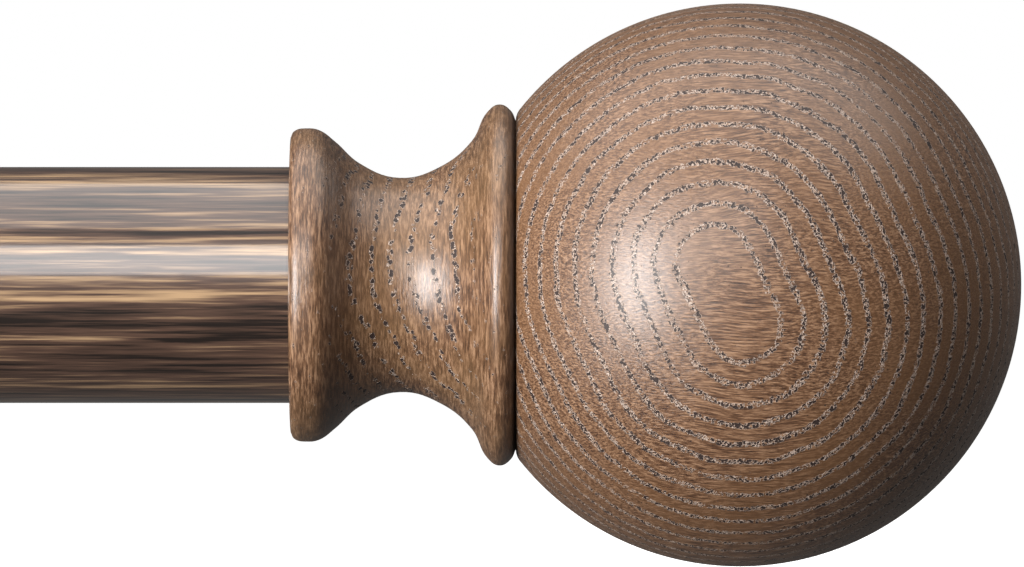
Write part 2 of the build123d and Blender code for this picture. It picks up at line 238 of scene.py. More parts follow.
def stained_ash_ball(side, centre, radius, pole, along, seed):
    """Ash, turned and stained walnut brown under satin lacquer.

    Ash is ring-porous: each year starts with a band of open pores, which the stain fills and the
    lacquer leaves sunken. A ball shows the bands as closed loops around the point where the rings
    lie flat, here pole. The oblong loops are longest along the direction along.
    """
    colours = bpy.context.scene.curtain_rod_colours
    spacing = bpy.context.scene.curtain_rod_sizes.ring_spacing
    material, tree, shader = new_tree(f"turned_stained_ash_ball_{side}")
    point = add(tree, "TexCoord").outputs["Object"]

    # Distance over the surface from the heart of the rings, a short line through the pole.
    half_heart = 3.6 * MM
    turn = Matrix((along, pole.cross(along), pole))
    local = add(tree, "Mapping", {"Vector": point, "Location": -(turn @ centre),
                                  "Rotation": turn.to_euler()})
    unit = add(tree, "VectorMath", {0: local}, operation="NORMALIZE")
    parts = add(tree, "SeparateXYZ", {0: unit})
    slope = add(tree, "Math", {0: parts.outputs["Z"]}, operation="ARCCOSINE")
    arc = add(tree, "Math", {0: slope, 1: radius}, operation="MULTIPLY")
    flat = add(tree, "CombineXYZ", {"X": parts.outputs["X"], "Y": parts.outputs["Y"]})
    heading = add(tree, "VectorMath", {0: flat}, operation="NORMALIZE")
    chart = add(tree, "VectorMath", {0: heading, "Scale": arc}, operation="SCALE")
    chart = add(tree, "SeparateXYZ", {0: chart})
    sideways = add(tree, "Math", {0: chart.outputs["X"]}, operation="ABSOLUTE")
    beyond = add(tree, "Math", {0: sideways, 1: half_heart}, operation="SUBTRACT")
    beyond = add(tree, "Math", {0: beyond, 1: 0.0}, operation="MAXIMUM")
    to_heart = add(tree, "CombineXYZ", {"X": beyond, "Y": chart.outputs["Y"]})
    oblong = add(tree, "VectorMath", {0: to_heart}, operation="LENGTH")

    # Years differ and the trunk wasn't round: slow noise bends the rings, quick noise frays them.
    bend, fray = 1.6 * MM, 1.1 * MM
    slow = add(tree, "TexNoise", {"Vector": local, "W": seed, "Scale": 1 / (22 * MM), "Detail": 1.0},
               noise_dimensions="4D")
    quick = add(tree, "TexNoise", {"Vector": local, "W": seed + 3, "Scale": 1 / (4 * MM), "Detail": 2.0},
                noise_dimensions="4D")
    bent = add(tree, "Math", {0: slow, 1: bend, 2: oblong}, operation="MULTIPLY_ADD")
    frayed = add(tree, "Math", {0: quick, 1: fray, 2: bent}, operation="MULTIPLY_ADD")
    first_ring = 4.0 * MM + 0.5 * (bend + fray)
    from_first = add(tree, "Math", {0: frayed, 1: first_ring - spacing / 2}, operation="SUBTRACT")
    year = add(tree, "Math", {0: from_first, 1: spacing}, operation="DIVIDE")
    season = add(tree, "Math", {0: year}, operation="FRACT")
    spring = add(tree, "Math", {0: season, 1: 0.5}, operation="SUBTRACT")
    off_band = add(tree, "Math", {0: spring}, operation="ABSOLUTE")
    ragged = add(tree, "TexNoise", {"Vector": local, "W": seed, "Scale": 1 / (0.7 * MM), "Detail": 1.0},
                 noise_dimensions="4D")
    frayed_band = add(tree, "Math", {0: ragged, 1: 0.12, 2: off_band}, operation="MULTIPLY_ADD")
    band = add(tree, "MapRange", {0: frayed_band, 1: 0.15, 2: 0.27, 3: 1.0, 4: 0.0},
               interpolation_type="SMOOTHSTEP")
    # No band inside the first loop, and stretches where a band thins out.
    inside = add(tree, "MapRange", {0: oblong, 1: 2.4 * MM, 2: 3.0 * MM}, interpolation_type="SMOOTHSTEP")
    stretch = add(tree, "TexNoise", {"Vector": local, "W": seed + 7, "Scale": 1 / (8 * MM), "Detail": 2.0},
                  noise_dimensions="4D")
    fullness = add(tree, "MapRange", {0: stretch, 1: 0.30, 2: 0.5, 3: 0.7, 4: 1.0})
    full_band = add(tree, "Math", {0: band, 1: fullness}, operation="MULTIPLY")
    porous = add(tree, "Math", {0: full_band, 1: inside}, operation="MULTIPLY")

    # Fibres run along the rod, about 0.2 mm thick and 2.6 mm long, slightly wavy.
    wave = add(tree, "TexNoise", {"Vector": point, "Scale": 1 / (11 * MM), "Detail": 1.0})
    centred = add(tree, "VectorMath", {0: wave.outputs["Color"], 1: (0.5, 0.5, 0.5)}, operation="SUBTRACT")
    sway = add(tree, "VectorMath", {0: centred, "Scale": 2.4 * MM}, operation="SCALE")
    swayed = add(tree, "VectorMath", {0: point, 1: sway}, operation="ADD")
    drawn = add(tree, "Mapping", {"Vector": swayed,
                                  "Scale": (1 / (2.6 * MM), 1 / (0.24 * MM), 1 / (0.17 * MM))})
    streak, fibre = ash_fibre(tree, drawn, seed)
    # Broad patches where the stain is redder.
    stain = add(tree, "TexNoise", {"Vector": point, "W": seed, "Scale": 1 / (15 * MM), "Detail": 2.0},
                noise_dimensions="4D")
    patch = add(tree, "MapRange", {0: stain, 1: 0.40, 2: 0.62, 3: 0.0, 4: 0.6})
    body = add(tree, "Mix", {0: patch, 6: streak, 7: colours.ash_warm}, data_type="RGBA")
    # Pores are irregular holes of about 0.2 mm, crowded in the bands.
    holes = add(tree, "TexNoise", {"Vector": point, "W": seed, "Scale": 1 / (0.27 * MM), "Detail": 1.5},
                noise_dimensions="4D")
    limit = add(tree, "Math", {0: porous, 1: 0.205, 2: 0.27}, operation="MULTIPLY_ADD")
    clear = add(tree, "Math", {0: holes, 1: limit}, operation="SUBTRACT")
    colour, pore, edge = open_pores(tree, clear, porous, body)
    satin_lacquer(tree, shader, colour, pore, edge, fibre)
    return material


def stained_ash_spool(side, front, outward, axis_point, seed):
    """Ash, turned and stained like the ball, but lathe marks and rubbed stain run round the spool.

    The cut crosses the rings at a steep angle, so the pores show as separate dark pits in rows.
    """
    colours = bpy.context.scene.curtain_rod_colours
    spacing = bpy.context.scene.curtain_rod_sizes.row_spacing
    material, tree, shader = new_tree(f"turned_stained_ash_spool_{side}")
    point = add(tree, "TexCoord").outputs["Object"]
    # Local X runs from the front face outwards, and local Y and Z are measured from the rod's axis.
    origin = Vector((front, axis_point.y, axis_point.z))
    moved = add(tree, "VectorMath", {0: point, 1: origin}, operation="SUBTRACT")
    local = add(tree, "VectorMath", {0: moved, 1: (outward, 1, 1)}, operation="MULTIPLY")
    parts = add(tree, "SeparateXYZ", {0: local})
    along = parts.outputs["X"]

    # Streaks run round the axis: 0.2 mm across, about 2 mm long on a 15 mm radius.
    flat = add(tree, "CombineXYZ", {"Y": parts.outputs["Y"], "Z": parts.outputs["Z"]})
    heading = add(tree, "VectorMath", {0: flat}, operation="NORMALIZE")
    heading = add(tree, "SeparateXYZ", {0: heading})
    around = add(tree, "CombineXYZ", {"X": along, "Y": heading.outputs["Y"], "Z": heading.outputs["Z"]})
    drawn = add(tree, "Mapping", {"Vector": around, "Scale": (1 / (0.22 * MM), 8.0, 8.0)})
    streak, fibre = ash_fibre(tree, drawn, seed)
    stain = add(tree, "TexNoise", {"Vector": point, "W": seed, "Scale": 1 / (10 * MM), "Detail": 2.0},
                noise_dimensions="4D")
    patch = add(tree, "MapRange", {0: stain, 1: 0.40, 2: 0.60, 3: 0.05, 4: 0.4})
    body = add(tree, "Mix", {0: patch, 6: streak, 7: colours.ash_ochre}, data_type="RGBA")

    # Rows of pits, bowed where the rings curve through the cove.
    bow_radius, bow_height = 34 * MM, 3.0 * MM
    lift = add(tree, "Math", {0: parts.outputs["Z"], 1: bow_height}, operation="SUBTRACT")
    bow = add(tree, "Math", {0: lift, 1: 2.0}, operation="POWER")
    bowed = add(tree, "Math", {0: bow, 1: -1 / bow_radius, 2: along}, operation="MULTIPLY_ADD")
    slow = add(tree, "TexNoise", {"Vector": local, "W": seed, "Scale": 1 / (7 * MM), "Detail": 1.0},
               noise_dimensions="4D")
    bent = add(tree, "Math", {0: slow, 1: 2.4 * MM, 2: bowed}, operation="MULTIPLY_ADD")
    year = add(tree, "Math", {0: bent, 1: spacing}, operation="DIVIDE")
    season = add(tree, "Math", {0: year}, operation="FRACT")
    spring = add(tree, "Math", {0: season, 1: 0.5}, operation="SUBTRACT")
    off_row = add(tree, "Math", {0: spring}, operation="ABSOLUTE")
    row = add(tree, "MapRange", {0: off_row, 1: 0.10, 2: 0.24, 3: 1.0, 4: 0.0})
    # The beads are cut across the rings' dense wood, so most pits are in the cove.
    past_front = add(tree, "MapRange", {0: along, 1: 3.6 * MM, 2: 6.5 * MM, 3: 0.35, 4: 1.0})
    before_rear = add(tree, "MapRange", {0: along, 1: 18 * MM, 2: 20.5 * MM, 3: 1.0, 4: 0.35})
    cove = add(tree, "Math", {0: past_front, 1: before_rear}, operation="MULTIPLY")
    porous = add(tree, "Math", {0: row, 1: cove}, operation="MULTIPLY")
    # Pits of up to 0.5 mm, apart from each other, with torn outlines.
    torn = add(tree, "TexNoise", {"Vector": point, "Scale": 1 / (0.24 * MM), "Detail": 2.0})
    tear = add(tree, "VectorMath", {0: torn.outputs["Color"], "Scale": 0.55 * MM}, operation="SCALE")
    torn_point = add(tree, "VectorMath", {0: point, 1: tear}, operation="ADD")
    pits = add(tree, "TexVoronoi", {"Vector": torn_point, "Scale": 1 / (0.74 * MM)})
    limit = add(tree, "Math", {0: porous, 1: 0.42, 2: -0.02}, operation="MULTIPLY_ADD")
    clear = add(tree, "Math", {0: pits, 1: limit}, operation="SUBTRACT")
    colour, pore, edge = open_pores(tree, clear, porous, body)

    # Painted shade: the pore colour darkens the hollow behind the front bead and the groove at the ball.
    into_hollow = add(tree, "MapRange", {0: along, 1: 3.0 * MM, 2: 4.4 * MM})
    out_of_hollow = add(tree, "MapRange", {0: along, 1: 4.8 * MM, 2: 8.5 * MM, 3: 0.55, 4: 0.0})
    hollow = add(tree, "Math", {0: into_hollow, 1: out_of_hollow}, operation="MULTIPLY")
    groove = add(tree, "MapRange", {0: along, 1: 23.2 * MM, 2: 23.9 * MM, 3: 0.0, 4: 0.9})
    painted_shade = add(tree, "Math", {0: hollow, 1: groove}, operation="ADD")
    with_painted_shade = add(tree, "Mix", {0: painted_shade, 6: colour, 7: colours.pore}, data_type="RGBA")
    satin_lacquer(tree, shader, with_painted_shade, pore, edge, fibre)
    return material


def printed_foil(axis_point):
    """Wood-grain foil wrapped on steel tube, under high-gloss varnish.

    The print is a quartered dark timber: long streaks along the tube, near black to tan. The varnish
    is smooth, so the studio lights show as sharp bands.
    """
    colours = bpy.context.scene.curtain_rod_colours
    material, tree, shader = new_tree("printed_woodgrain_foil_gloss")
    point = add(tree, "TexCoord").outputs["Object"]
    moved = add(tree, "VectorMath", {0: point, 1: axis_point}, operation="SUBTRACT")
    parts = add(tree, "SeparateXYZ", {0: moved})
    # Share of a turn round the tube: 0 at the back, rising under it to 0.5 at the room, then over the top.
    forward = add(tree, "Math", {0: parts.outputs["Y"], 1: -1.0}, operation="MULTIPLY")
    angle = add(tree, "Math", {0: parts.outputs["Z"], 1: forward}, operation="ARCTAN2")
    share = add(tree, "MapRange", {0: angle, 1: -pi, 2: pi})

    # Long streaks: 50 mm by 1.7 mm for the broad ones, 14 mm by 0.42 mm for the fine ones.
    broad_place = add(tree, "Mapping", {"Vector": moved,
                                        "Scale": (1 / (50 * MM), 1 / (1.7 * MM), 1 / (1.7 * MM))})
    broad = add(tree, "TexNoise", {"Vector": broad_place, "W": 4.3, "Scale": 1.0, "Detail": 3.0,
                                   "Roughness": 0.6, "Distortion": 0.25}, noise_dimensions="4D")
    fine_place = add(tree, "Mapping", {"Vector": moved,
                                       "Scale": (1 / (14 * MM), 1 / (0.42 * MM), 1 / (0.42 * MM))})
    fine = add(tree, "TexNoise", {"Vector": fine_place, "W": 1.7, "Scale": 1.0, "Detail": 3.0,
                                  "Roughness": 0.6}, noise_dimensions="4D")
    # Figure of the print round the tube: where it is darker and where it is lighter.
    tone = [(0.00, 0.46), (0.12, 0.56), (0.20, 0.38), (0.28, 0.46), (0.35, 0.40), (0.366, 0.50),
            (0.39, 0.38), (0.415, 0.50), (0.44, 0.26), (0.455, 0.34), (0.474, 0.32), (0.487, 0.54),
            (0.505, 0.62), (0.520, 0.46), (0.555, 0.50), (0.572, 0.38), (0.585, 0.46), (0.608, 0.28),
            (0.64, 0.54), (0.70, 0.42), (0.80, 0.40), (0.90, 0.58), (1.00, 0.46)]
    figure = add(tree, "ValToRGB", {"Fac": share},
                 stops=[(at, (value, value, value, 1.0)) for at, value in tone])
    broad_part = add(tree, "Math", {0: broad, 1: 0.5}, operation="SUBTRACT")
    fine_part = add(tree, "Math", {0: fine, 1: 0.5}, operation="SUBTRACT")
    with_broad = add(tree, "Math", {0: broad_part, 1: 1.3, 2: figure}, operation="MULTIPLY_ADD")
    with_fine = add(tree, "Math", {0: fine_part, 1: 1.2, 2: with_broad}, operation="MULTIPLY_ADD")
    ink = add(tree, "ValToRGB", {"Fac": with_fine}, stops=[
        (0.22, colours.foil_dark), (0.48, colours.foil_brown), (0.78, colours.foil_tan)])
    # The varnish levels over the print, leaving a faint drag along the tube.
    bump = add(tree, "Bump", {"Height": fine, "Strength": 0.5, "Distance": 0.012 * MM})
    tree.links.new(ink.outputs["Color"], shader.inputs["Base Color"])
    tree.links.new(bump.outputs[0], shader.inputs["Normal"])
    fit(shader, Roughness=0.30, IOR=1.52, Coat_Weight=0.8, Coat_Roughness=0.09, Coat_IOR=1.55)
    return material


def powder_coat():
    """Steel, powder coated dark bronze.

    The cured powder has an orange-peel skin of about 1.2 mm and mica flecks of up to 0.5 mm, so it
    glints softly. Handling has polished it in patches.
    """
    colours = bpy.context.scene.curtain_rod_colours
    material, tree, shader = new_tree("powder_coated_bronze_steel")
    point = add(tree, "TexCoord").outputs["Object"]
    cells = add(tree, "TexVoronoi", {"Vector": point, "Scale": 1 / (0.5 * MM)})
    cell_tone = add(tree, "SeparateXYZ", {0: cells.outputs["Color"]})
    fleck = add(tree, "MapRange", {0: cell_tone.outputs["X"], 1: 0.80, 2: 0.95, 3: 0.0, 4: 0.75})
    body = add(tree, "Mix", {0: fleck, 6: colours.bronze, 7: colours.bronze_fleck}, data_type="RGBA")
    handled = add(tree, "TexNoise", {"Vector": point, "Scale": 1 / (14 * MM), "Detail": 3.0})
    gloss = add(tree, "MapRange", {0: handled, 1: 0.35, 2: 0.65, 3: 0.36, 4: 0.50})
    peel = add(tree, "TexNoise", {"Vector": point, "Scale": 1 / (1.2 * MM), "Detail": 1.0})
    bump = add(tree, "Bump", {"Height": peel, "Strength": 0.6, "Distance": 0.05 * MM})
    tree.links.new(body.outputs[2], shader.inputs["Base Color"])
    tree.links.new(gloss.outputs[0], shader.inputs["Roughness"])
    tree.links.new(bump.outputs[0], shader.inputs["Normal"])
    fit(shader, Metallic=0.45, Coat_Weight=0.15, Coat_Roughness=0.25)
    return material


def oiled_bronze():
    """Bronze, turned and fluted, then oiled: dark patina with bare metal where fingers rub."""
    colours = bpy.context.scene.curtain_rod_colours
    material, tree, shader = new_tree("fluted_oiled_bronze")
    point = add(tree, "TexCoord").outputs["Object"]
    rub = add(tree, "TexNoise", {"Vector": point, "Scale": 1 / (2.5 * MM), "Detail": 4.0,
                                 "Roughness": 0.6})
    bare = add(tree, "MapRange", {0: rub, 1: 0.42, 2: 0.62})
    metal = add(tree, "Mix", {0: bare, 6: colours.knob_patina, 7: colours.knob}, data_type="RGBA")
    gloss = add(tree, "MapRange", {0: rub, 1: 0.42, 2: 0.62, 3: 0.48, 4: 0.28})
    grain = add(tree, "TexNoise", {"Vector": point, "Scale": 1 / (0.3 * MM), "Detail": 2.0})
    bump = add(tree, "Bump", {"Height": grain, "Strength": 0.4, "Distance": 0.02 * MM})
    tree.links.new(metal.outputs[2], shader.inputs["Base Color"])
    tree.links.new(gloss.outputs[0], shader.inputs["Roughness"])
    tree.links.new(bump.outputs[0], shader.inputs["Normal"])
    fit(shader, Metallic=1.0)
    return material


def turned_metal(name, bright, dull, roughness, axis):
    """Metal turned on a lathe: fine tool rings of 0.12 mm across the axis, and dulled patches of 3 mm."""
    material, tree, shader = new_tree(name)
    point = add(tree, "TexCoord").outputs["Object"]
    patches = add(tree, "TexNoise", {"Vector": point, "Scale": 1 / (3 * MM), "Detail": 3.0})
    dulled = add(tree, "MapRange", {0: patches, 1: 0.40, 2: 0.62})
    metal = add(tree, "Mix", {0: dulled, 6: bright, 7: dull}, data_type="RGBA")
    gloss = add(tree, "MapRange", {0: patches, 1: 0.35, 2: 0.65, 3: roughness, 4: roughness + 0.16})
    scale = Vector((40.0, 40.0, 40.0)) + axis * (1 / (0.12 * MM))
    across = add(tree, "Mapping", {"Vector": point, "Scale": scale})
    rings = add(tree, "TexNoise", {"Vector": across, "Scale": 1.0, "Detail": 1.0})
    bump = add(tree, "Bump", {"Height": rings, "Strength": 0.3, "Distance": 0.01 * MM})
    tree.links.new(metal.outputs[2], shader.inputs["Base Color"])
    tree.links.new(gloss.outputs[0], shader.inputs["Roughness"])
    tree.links.new(bump.outputs[0], shader.inputs["Normal"])
    fit(shader, Metallic=1.0)
    return material


def moulded_nylon():
    """Dark brown nylon, injection moulded in a spark-eroded tool: fine matt skin, faint flow lines."""
    colours = bpy.context.scene.curtain_rod_colours
    material, tree, shader = new_tree("moulded_brown_nylon")
    point = add(tree, "TexCoord").outputs["Object"]
    flow_place = add(tree, "Mapping", {"Vector": point,
                                       "Scale": (1 / (9 * MM), 1 / (2 * MM), 1 / (2 * MM))})
    flow = add(tree, "TexNoise", {"Vector": flow_place, "Scale": 1.0, "Detail": 2.0, "Distortion": 0.6})
    line = add(tree, "MapRange", {0: flow, 1: 0.45, 2: 0.65})
    body = add(tree, "Mix", {0: line, 6: colours.nylon, 7: colours.nylon_flow}, data_type="RGBA")
    sparks = add(tree, "TexNoise", {"Vector": point, "Scale": 1 / (0.25 * MM), "Detail": 2.0})
    gloss = add(tree, "MapRange", {0: flow, 1: 0.35, 2: 0.65, 3: 0.42, 4: 0.54})
    bump = add(tree, "Bump", {"Height": sparks, "Strength": 0.5, "Distance": 0.02 * MM})
    tree.links.new(body.outputs[2], shader.inputs["Base Color"])
    tree.links.new(gloss.outputs[0], shader.inputs["Roughness"])
    tree.links.new(bump.outputs[0], shader.inputs["Normal"])
    fit(shader, IOR=1.53)
    return material


# ---- Modelling helpers -----------------------------------------------------------------------------

def begin():
    """Deselect everything, so that an operator acts only on what it adds."""
    bpy.ops.object.select_all(action="DESELECT")


def keep_place():
    """Put the active object's place, turn and size into its mesh."""
    bpy.ops.object.transform_apply(location=True, rotation=True, scale=True)
    return bpy.context.object


def clean(merge=1e-6):
    """Merge doubles and turn the faces outwards, in edit mode."""
    bpy.ops.mesh.select_all(action="SELECT")
    bpy.ops.mesh.remove_doubles(threshold=merge)
    bpy.ops.mesh.normals_make_consistent(inside=False)


def select_edges(test):
    """In edit mode, select the edges for which test(edge) holds."""
    bpy.ops.mesh.select_mode(type="EDGE")
    bpy.ops.mesh.select_all(action="DESELECT")
    mesh = bpy.context.object.data
    edit = bmesh.from_edit_mesh(mesh)
    for edge in edit.edges:
        edge.select_set(test(edge))
    bmesh.update_edit_mesh(mesh)


def select_faces(test):
    """In edit mode, select the faces for which test(face) holds."""
    bpy.ops.mesh.select_mode(type="FACE")
    bpy.ops.mesh.select_all(action="DESELECT")
    mesh = bpy.context.object.data
    edit = bmesh.from_edit_mesh(mesh)
    for face in edit.faces:
        face.select_set(test(face))
    bmesh.update_edit_mesh(mesh)


def draw_outline(points, closed, resolution):
    """A mesh line through (place, smooth) points, left in edit mode. Smooth points take auto handles."""
    begin()
    bpy.ops.curve.primitive_bezier_curve_add()
    curve = bpy.context.object
    spline = curve.data.splines[0]
    spline.bezier_points.add(len(points) - len(spline.bezier_points))
    for spot, (place, smooth) in zip(spline.bezier_points, points):
        spot.co = place
        spot.handle_left_type = spot.handle_right_type = "AUTO" if smooth else "VECTOR"
    spline.use_cyclic_u = closed
    spline.resolution_u = resolution
    curve.data.dimensions = "3D"
    bpy.ops.object.convert(target="MESH")
    keep_place()
    bpy.ops.object.mode_set(mode="EDIT")
    clean()


def square_to(axis):
    """A direction at right angles to an axis that lies along Y or Z or X."""
    return Vector((0, 0, 1)) if abs(axis.z) < 0.5 else Vector((1, 0, 0))


def lathe(outline, steps, start, axis):
    """Spin a closed outline about an axis through start. Outline holds (along, radius, smooth) points."""
    side = square_to(axis)
    draw_outline([(start + axis * along + side * radius, smooth) for along, radius, smooth in outline],
                 closed=True, resolution=7 if any(smooth for _, _, smooth in outline) else 1)
    bpy.ops.mesh.spin(steps=steps, angle=tau, center=start, axis=axis)
    clean()
    bpy.ops.object.mode_set(mode="OBJECT")
    return bpy.context.object


def cut_thread(start, axis, length, major, minor, pitch, crest=0.12, flank=0.22):
    """A threaded rod with flat ends: one turn's profile wound round the axis.

    Crest and flank are shares of a pitch.
    """
    side = square_to(axis)
    # The profile runs against the axis, because the operator winds towards its first point.
    profile = ((0.5, minor), (crest / 2 + flank, minor), (crest / 2, major), (-crest / 2, major),
               (-crest / 2 - flank, minor), (-0.5, minor))
    # Slightly off a whole pitch, so that no point of the helix falls on a cutting plane.
    wind_from = start - axis * (1.005 * pitch)
    line = [(wind_from + axis * (share * pitch) + side * radius, False) for share, radius in profile]
    draw_outline(line, closed=False, resolution=1)
    bpy.ops.mesh.select_all(action="SELECT")
    bpy.ops.mesh.screw(steps=24, turns=round(length / pitch) + 2, center=wind_from, axis=axis)
    clean(merge=2e-6)
    for place, outward in ((start, -axis), (start + axis * length, axis)):
        bpy.ops.mesh.select_all(action="SELECT")
        bpy.ops.mesh.bisect(plane_co=place, plane_no=outward, use_fill=True, clear_outer=True,
                            threshold=1e-7)
    clean(merge=1e-7)
    bpy.ops.object.mode_set(mode="OBJECT")
    return bpy.context.object


def join(*parts):
    """Join parts into the first."""
    begin()
    for part in parts:
        part.select_set(True)
    bpy.context.view_layer.objects.active = parts[0]
    bpy.ops.object.join()
    return bpy.context.object


def copy_piece(piece, start, end, turn=0.0, about="Z"):
    """A copy of a piece, with its own mesh, moved from start to end and turned about an axis there."""
    begin()
    piece.select_set(True)
    bpy.context.view_layer.objects.active = piece
    bpy.ops.object.duplicate()
    copy = bpy.context.object
    turned = Matrix.Rotation(turn, 4, about)
    copy.matrix_world = Matrix.Translation(end) @ turned @ Matrix.Translation(-start)
    return keep_place()


def finish_piece(piece, name, body, slot, material, *nodes, angle=30):
    """Name and smooth a finished piece, and give it its material, its body and the nodes it replaces."""
    piece.name = name
    piece.data.name = name
    begin()
    piece.select_set(True)
    bpy.context.view_layer.objects.active = piece
    bpy.ops.object.shade_smooth_by_angle(angle=radians(angle))
    piece.data.materials.clear()
    piece.data.materials.append(material)
    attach(piece, body)
    if nodes:
        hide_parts(*nodes)
    return piece


def finish_nodes(slot, material, start=""):
    """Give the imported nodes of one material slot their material, if their names begin with start."""
    for name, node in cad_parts.items():
        for holder in node.material_slots:
            if holder.material.name == slot and name.startswith(start):
                holder.material = material


# ---- Finials ---------------------------------------------------------------------------------------

class CURTAINROD_OT_turn_spools(bpy.types.Operator):
    """Turn the two finial spools: a small bead at the rod, a cove, and a larger bead under the ball"""

    bl_idname = "curtain_rod.turn_spools"
    bl_label = "Turn Finial Spools"

    def execute(self, context):
        low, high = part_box("finial_spool_right")
        middle = node_middle("finial_spool_right")
        face = Vector((low.x, middle.y, middle.z))
        spool_length = 24.2 * MM
        tenon_radius = 8.0 * MM
        front_bead = 16.8 * MM
        waist = 11.5 * MM
        rear_bead = (high.z - low.z) / 2
        socket = node_size("outer_tube").z / 2 + 0.1 * MM
        socket_depth = 4.6 * MM
        bore = node_size("finial_bolt_right").z / 2 + 0.05 * MM
        tenon_end = high.x - low.x
        outline = [
            (0.0, socket, False),
            (0.0, front_bead - 0.9 * MM, False),
            (0.35 * MM, front_bead - 0.25 * MM, True),
            (1.8 * MM, front_bead + 0.07 * MM, True),
            (3.1 * MM, front_bead - 0.15 * MM, True),
            (4.7 * MM, front_bead - 1.3 * MM, True),
            (7.4 * MM, waist + 1.6 * MM, True),
            (11.7 * MM, waist + 0.04 * MM, True),
            (16.0 * MM, waist + 1.2 * MM, True),
            (19.5 * MM, rear_bead - 3.9 * MM, True),
            (21.2 * MM, rear_bead - 0.75 * MM, True),
            (22.44 * MM, rear_bead, True),
            (23.7 * MM, rear_bead - 0.7 * MM, True),
            (spool_length, rear_bead - 1.73 * MM, False),
            (spool_length, tenon_radius, False),
            (tenon_end, tenon_radius, False),
            (tenon_end, bore, False),
            (socket_depth, bore, False),
            (socket_depth, socket, False),
        ]
        right = lathe(outline, 160, face, OUTWARD["right"])
        far_face = Vector((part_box("finial_spool_left")[1].x, middle.y, middle.z))
        left = copy_piece(right, face, far_face, turn=pi)
        for side, piece, front, seed in (("right", right, face.x, 22.0), ("left", left, far_face.x, 33.0)):
            material = stained_ash_spool(side, front, OUTWARD[side].x, middle, seed)
            finish_piece(piece, f"turned_spool_{side}", f"{side}_finial", "finial_wood", material,
                         f"finial_spool_{side}", angle=35)
        return {"FINISHED"}


class CURTAINROD_OT_turn_balls(bpy.types.Operator):
    """Turn the two finial balls, cut flat and socketed where they seat on the spools"""

    bl_idname = "curtain_rod.turn_balls"
    bl_label = "Turn Finial Balls"

    def execute(self, context):
        low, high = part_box("finial_ball_right")
        outward = OUTWARD["right"]
        radius = (high.z - low.z) / 2
        centre = Vector((high.x - radius, (low.y + high.y) / 2, (low.z + high.z) / 2))
        seat = Vector((low.x, centre.y, centre.z))
        seat_radius = sqrt(radius ** 2 - (centre.x - seat.x) ** 2)
        socket_radius, socket_depth = 8.0 * MM, 6.1 * MM
        bolt_radius, bolt_depth = 3.05 * MM, 20.0 * MM
        begin()
        bpy.ops.mesh.primitive_uv_sphere_add(segments=192, ring_count=112, radius=radius, location=centre,
                                             rotation=(0, radians(90), 0))
        keep_place()
        bpy.ops.object.mode_set(mode="EDIT")
        bpy.ops.mesh.select_all(action="SELECT")
        bpy.ops.mesh.bisect(plane_co=seat, plane_no=-outward, use_fill=True, clear_outer=True)
        select_faces(lambda face: face.normal.dot(outward) < -0.999)
        bpy.ops.mesh.inset(thickness=seat_radius - socket_radius)
        bpy.ops.mesh.extrude_region_move(TRANSFORM_OT_translate={"value": outward * socket_depth})
        bpy.ops.mesh.inset(thickness=socket_radius - bolt_radius)
        bpy.ops.mesh.extrude_region_move(TRANSFORM_OT_translate={"value": outward * bolt_depth})
        # The rim that meets the spool is eased.
        near = 1e-5
        select_edges(lambda edge: all(
            abs(v.co.x - seat.x) < near and (v.co - seat).length > seat_radius - near for v in edge.verts))
        bpy.ops.mesh.bevel(offset=0.6 * MM, segments=3, affect="EDGES")
        clean()
        bpy.ops.object.mode_set(mode="OBJECT")
        right = bpy.context.object
        far_centre = Vector((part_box("finial_ball_left")[0].x + radius, centre.y, centre.z))
        left = copy_piece(right, centre, far_centre, turn=pi)

        # The rings lie flat at a point that faces the room, a little low and to the left.
        pole = Vector((-0.054, -1.0, -0.032)).normalized()
        slant = Vector((0.415, 0.0, -0.910))
        along = (slant - pole * slant.dot(pole)).normalized()
        for side, piece, middle, seed in (("right", right, centre, 5.0), ("left", left, far_centre, 10.0)):
            material = stained_ash_ball(side, middle, radius, pole, along, seed)
            finish_piece(piece, f"turned_ball_{side}", f"{side}_finial", "finial_wood", material,
                         f"finial_ball_{side}", angle=40)
        return {"FINISHED"}


